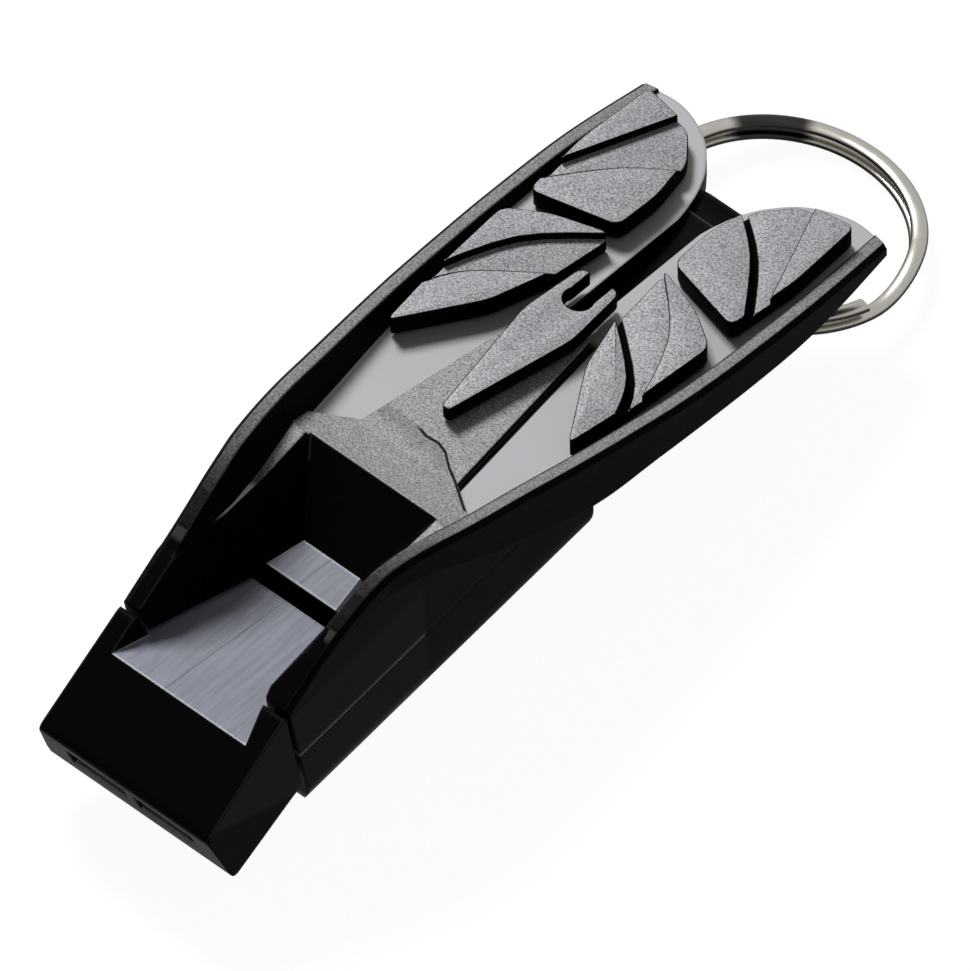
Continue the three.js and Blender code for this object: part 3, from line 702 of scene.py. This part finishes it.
@dataclass
class GripPad:
    """A grip pad with rounded edges, whose middle leaf lies below the two beside it, behind a groove."""

    node: str
    round_mm: float = 0.07
    sink_mm: float = 0.7
    groove_mm: float = 1.0
    # Leaves lie this near to the highest one, and the grooves' floors at least this far below it
    leaf_mm: float = 0.1
    floor_mm: float = 0.3
    # The area of the smallest face that counts as a leaf or as a groove's own floor
    large_mm2: float = 1.0
    # How well a face has to follow the deck, the turn of an edge that is rounded, and that of a flat one
    facing: float = 0.99
    sharp: float = math.radians(40.0)
    flat: float = math.radians(0.5)
    # Points nearer than these are joined, in the CAD mesh and once the leaf has sunk, and thinner slivers closed
    weld_mm: float = 0.001
    sunk_weld_mm: float = 0.004
    sliver_mm: float = 0.02

    def build(self) -> bpy.types.Object:
        """Sink the pad's middle leaf, round its edges and put it in place of the plain solid.

        Returns:
            The linked pad.
        """
        source = frame["nodes"][self.node]
        bm = bmesh.new()
        bm.from_mesh(source.data)
        bmesh.ops.transform(bm, matrix=source.matrix_world, verts=bm.verts)
        bmesh.ops.remove_doubles(bm, verts=bm.verts, dist=self.weld_mm * MM)
        self.tidy(bm)
        self.sink(bm)
        sharp = [edge for edge in bm.edges if edge.is_convex and edge.calc_face_angle(0.0) > self.sharp]
        bmesh.ops.bevel(
            bm,
            geom=sharp,
            offset=self.round_mm * MM,
            affect="EDGES",
            segments=2,
            profile=0.5,
            material=-1,
            clamp_overlap=False,
        )
        return finished(bm, self.node + "_grip", Slot.PAD_GREY, "body", self.node)

    def sink(self, bm: bmesh.types.BMesh) -> None:
        """Lower the middle leaf and the groove behind it to one level, and deepen the groove in front of it.

        Args:
            bm: The pad; one without grooves is left as it is.
        """
        up = Vector((0.0, DECK_FALL, 1.0)).normalized()
        level = {face: face.calc_center_median().dot(up) for face in bm.faces if face.normal.dot(up) > self.facing}
        highest = max(level.values())
        large = [face for face in level if face.calc_area() > self.large_mm2 * MM * MM]
        large.sort(key=lambda face: face.calc_center_median().y)
        leaves = [face for face in large if level[face] > highest - self.leaf_mm * MM]
        floors = [face for face in level if level[face] < highest - self.floor_mm * MM]
        if len(leaves) < 3:
            return
        middle = leaves[1]
        groove = next(face for face in large if face in floors)
        depth = (highest - min(level.values())) / up.z
        ahead = {vert for face in floors if set(face.verts) & set(groove.verts) for vert in face.verts}
        behind = {vert for face in floors for vert in face.verts} - ahead
        drops = (
            (middle.verts[:], -self.sink_mm * MM),
            (list(behind), depth - self.sink_mm * MM),
            (list(ahead), depth - self.groove_mm * MM),
        )
        for verts, drop in drops:
            bmesh.ops.translate(bm, verts=verts, vec=(0.0, 0.0, drop))
        bmesh.ops.remove_doubles(bm, verts=bm.verts, dist=self.sunk_weld_mm * MM)
        self.tidy(bm)

    def tidy(self, bm: bmesh.types.BMesh) -> None:
        """Join the faces that lie in one plane and close slivers."""
        bmesh.ops.dissolve_degenerate(bm, edges=bm.edges, dist=self.sliver_mm * MM)
        bmesh.ops.dissolve_limit(bm, angle_limit=self.flat, verts=bm.verts, edges=bm.edges)


@dataclass
class SplitRing:
    """The split ring: one flattened wire wound twice, with a jog from the lower turn to the upper one."""

    ring: RingFrame = RingFrame()
    wire: Span = (1.2, 0.6)
    wire_sides: int = 20
    pitch: float = 1.05
    jog: float = math.radians(108.0)
    jog_half: float = math.radians(20.0)
    end_gap: float = math.radians(24.0)
    turn_steps: int = 100
    jog_steps: int = 12

    def build(self) -> bpy.types.Object:
        """Spin the wire's section round one turn, up the jog and round the second turn.

        Returns:
            The linked ring.
        """
        axis, to_eye, centre = self.ring.axis(), self.ring.to_eye(), self.ring.centre()
        start = self.jog - FULL_TURN + self.end_gap
        out = to_eye * math.cos(start) + axis.cross(to_eye) * math.sin(start)
        where = centre + (out * self.ring.radius - axis * self.pitch / 2.0) * MM
        place = Matrix.Translation(where) @ Matrix((out, axis, out.cross(axis))).transposed().to_4x4()
        bm = bmesh.new()
        bmesh.ops.create_circle(bm, cap_ends=True, segments=self.wire_sides, radius=0.5 * MM)
        bmesh.ops.scale(bm, vec=(*self.wire, 1.0), verts=bm.verts)
        bmesh.ops.transform(bm, matrix=place, verts=bm.verts)
        tip = bm.faces[:] + bm.edges[:] + bm.verts[:]
        for angle, steps, lift in self.stretches():
            spun = bmesh.ops.spin(
                bm, geom=tip, cent=centre, axis=axis, dvec=axis * lift * MM, angle=angle, steps=steps
            )
            tip = spun["geom_last"]
        return finished(bm, "ring_wire", Slot.RING_STEEL, "ring", "split_ring")

    def stretches(self) -> list[tuple[float, int, float]]:
        """List the wire's stretches: the first turn, the steps of the jog and the second turn.

        Returns:
            The angle of each stretch, its number of steps and the lift of each step in millimetres.
        """
        rise = [self.eased(k + 1) - self.eased(k) for k in range(self.jog_steps)]
        step = 2.0 * self.jog_half / self.jog_steps
        flat = (FULL_TURN - self.end_gap - self.jog_half, self.turn_steps, 0.0)
        return [flat, *((step, 1, self.pitch * part) for part in rise), flat]

    def eased(self, step: int) -> float:
        """Give the share of the jog's rise that is climbed by a step."""
        t = step / self.jog_steps
        return t * t * (3.0 - 2.0 * t)


@dataclass
class Lamp:
    """A square soft light that faces the whistle: its way, its distance and side in metres, power and colour."""

    name: str = "top_softbox"
    way: Triple = (-0.56, 0.25, 0.8)
    reach: float = 0.7
    size: float = 0.19
    watts: float = 6.5
    tint: Colour = (0.99, 0.99, 1.0)
    aim: Triple = (0.0, 36.8, 8.0)

    def hang(self) -> None:
        """Hang the lamp."""
        data = bpy.data.lights.new(self.name, "AREA")
        data.size = self.size
        data.energy = self.watts
        data.color = self.tint
        made = bpy.data.objects.new(self.name, data)
        away = Vector(self.way).normalized()
        turn = away.to_track_quat("Z", "Y").to_matrix().to_4x4()
        made.matrix_world = Matrix.Translation(at(*self.aim) + away * self.reach) @ turn
        bpy.context.scene.collection.objects.link(made)


@dataclass
class Studio:
    """The pale floor, the soft light, the white room and the photograph's camera."""

    scale_px_mm: float = 15.0
    width_px: int = 970
    distance_mm: float = 2000.0
    sensor_mm: float = 36.0
    clip_m: Span = (0.01, 20.0)
    aim: Triple = (0.0, 36.8, 3.2)
    right: Triple = (0.7631, 0.6456, -0.0125)
    up: Triple = (-0.5201, 0.6261, 0.5803)
    floor_half_m: float = 3.0
    floor_colour: Colour = (0.07, 0.07, 0.07)
    floor_roughness: float = 0.9
    floor_glow: float = 0.95
    floor_mirrored: float = 0.55
    room_light: float = 0.2
    room_mirrored: float = 0.75

    def camera(self) -> None:
        """Set up a long lens at the photograph's viewing angle."""
        right = Vector(self.right).normalized()
        back = right.cross(Vector(self.up)).normalized()
        up = back.cross(right)
        data = bpy.data.cameras.new("camera")
        data.sensor_width = self.sensor_mm
        data.lens = self.scale_px_mm * self.sensor_mm / self.width_px * self.distance_mm
        data.clip_start, data.clip_end = self.clip_m
        made = bpy.data.objects.new("camera", data)
        turn = Matrix((right, up, back)).transposed().to_4x4()
        made.matrix_world = Matrix.Translation(at(*self.aim) + back * self.distance_mm * MM) @ turn
        bpy.context.scene.collection.objects.link(made)
        bpy.context.scene.camera = made

    @staticmethod
    def sight(wiring: Wiring, mirrored: float) -> Socket:
        """Give 1 to the camera and through clear pieces, and a share of it in reflections.

        Args:
            wiring: The tree that the nodes go into.
            mirrored: The share in reflections.

        Returns:
            The factor.
        """
        light = wiring.node("ShaderNodeLightPath").outputs
        seen = wiring.math("MAXIMUM", light["Is Camera Ray"], light["Is Transmission Ray"])
        return wiring.math("MAXIMUM", seen, wiring.times(light["Is Glossy Ray"], mirrored))

    def floor(self) -> None:
        """Lay the white floor, which shows white to the camera and in reflections and keeps a soft shadow."""
        bm = bmesh.new()
        bmesh.ops.create_grid(bm, x_segments=1, y_segments=1, size=self.floor_half_m)
        mesh = bpy.data.meshes.new("floor")
        bm.to_mesh(mesh)
        bm.free()
        made = bpy.data.objects.new("floor", mesh)
        bpy.context.scene.collection.objects.link(made)
        material = bpy.data.materials.new("white_floor")
        material.use_nodes = True
        material.node_tree.nodes.clear()
        wiring = Wiring(material.node_tree)
        wiring.surface(
            {
                "Base Color": opaque(self.floor_colour),
                "Roughness": self.floor_roughness,
                "Specular IOR Level": 0.0,
                "Emission Color": WHITE,
                "Emission Strength": wiring.times(self.sight(wiring, self.floor_mirrored), self.floor_glow),
            }
        )
        mesh.materials.append(material)

    def world(self) -> None:
        """Fill the room with a soft grey light, and show it white to the camera and pale in metal."""
        world = bpy.data.worlds.new("room")
        world.use_nodes = True
        world.node_tree.nodes.clear()
        wiring = Wiring(world.node_tree)
        strength = wiring.math("MAXIMUM", self.sight(wiring, self.room_mirrored), self.room_light)
        sky = wiring.node("ShaderNodeBackground", {"Color": WHITE, "Strength": strength})
        wiring.node("ShaderNodeOutputWorld", {"Surface": sky.outputs[0]})
        bpy.context.scene.world = world

    def build(self) -> None:
        """Build the whole studio."""
        self.camera()
        self.floor()
        self.world()
        Lamp().hang()


def main() -> None:
    """Build the scene."""
    logging.basicConfig(level=logging.INFO)
    bpy.context.scene.view_settings.view_transform = "Standard"
    slots = {part["node"]: Slot(part["material_slot"]) for part in frame["record"]["subparts"]}
    for name, node in frame["nodes"].items():
        dress(node, slots[name])
        LOG.info("dressed %s, placed at %s", name, tuple(node.matrix_world.translation))
    for name in ("left_outer_pad", "right_outer_pad", "left_inner_pad", "right_inner_pad"):
        GripPad(name).build()
    GripPad("centre_pad", round_mm=0.09).build()
    SplitRing().build()
    Studio().build()


if __name__ == "__main__":
    main()
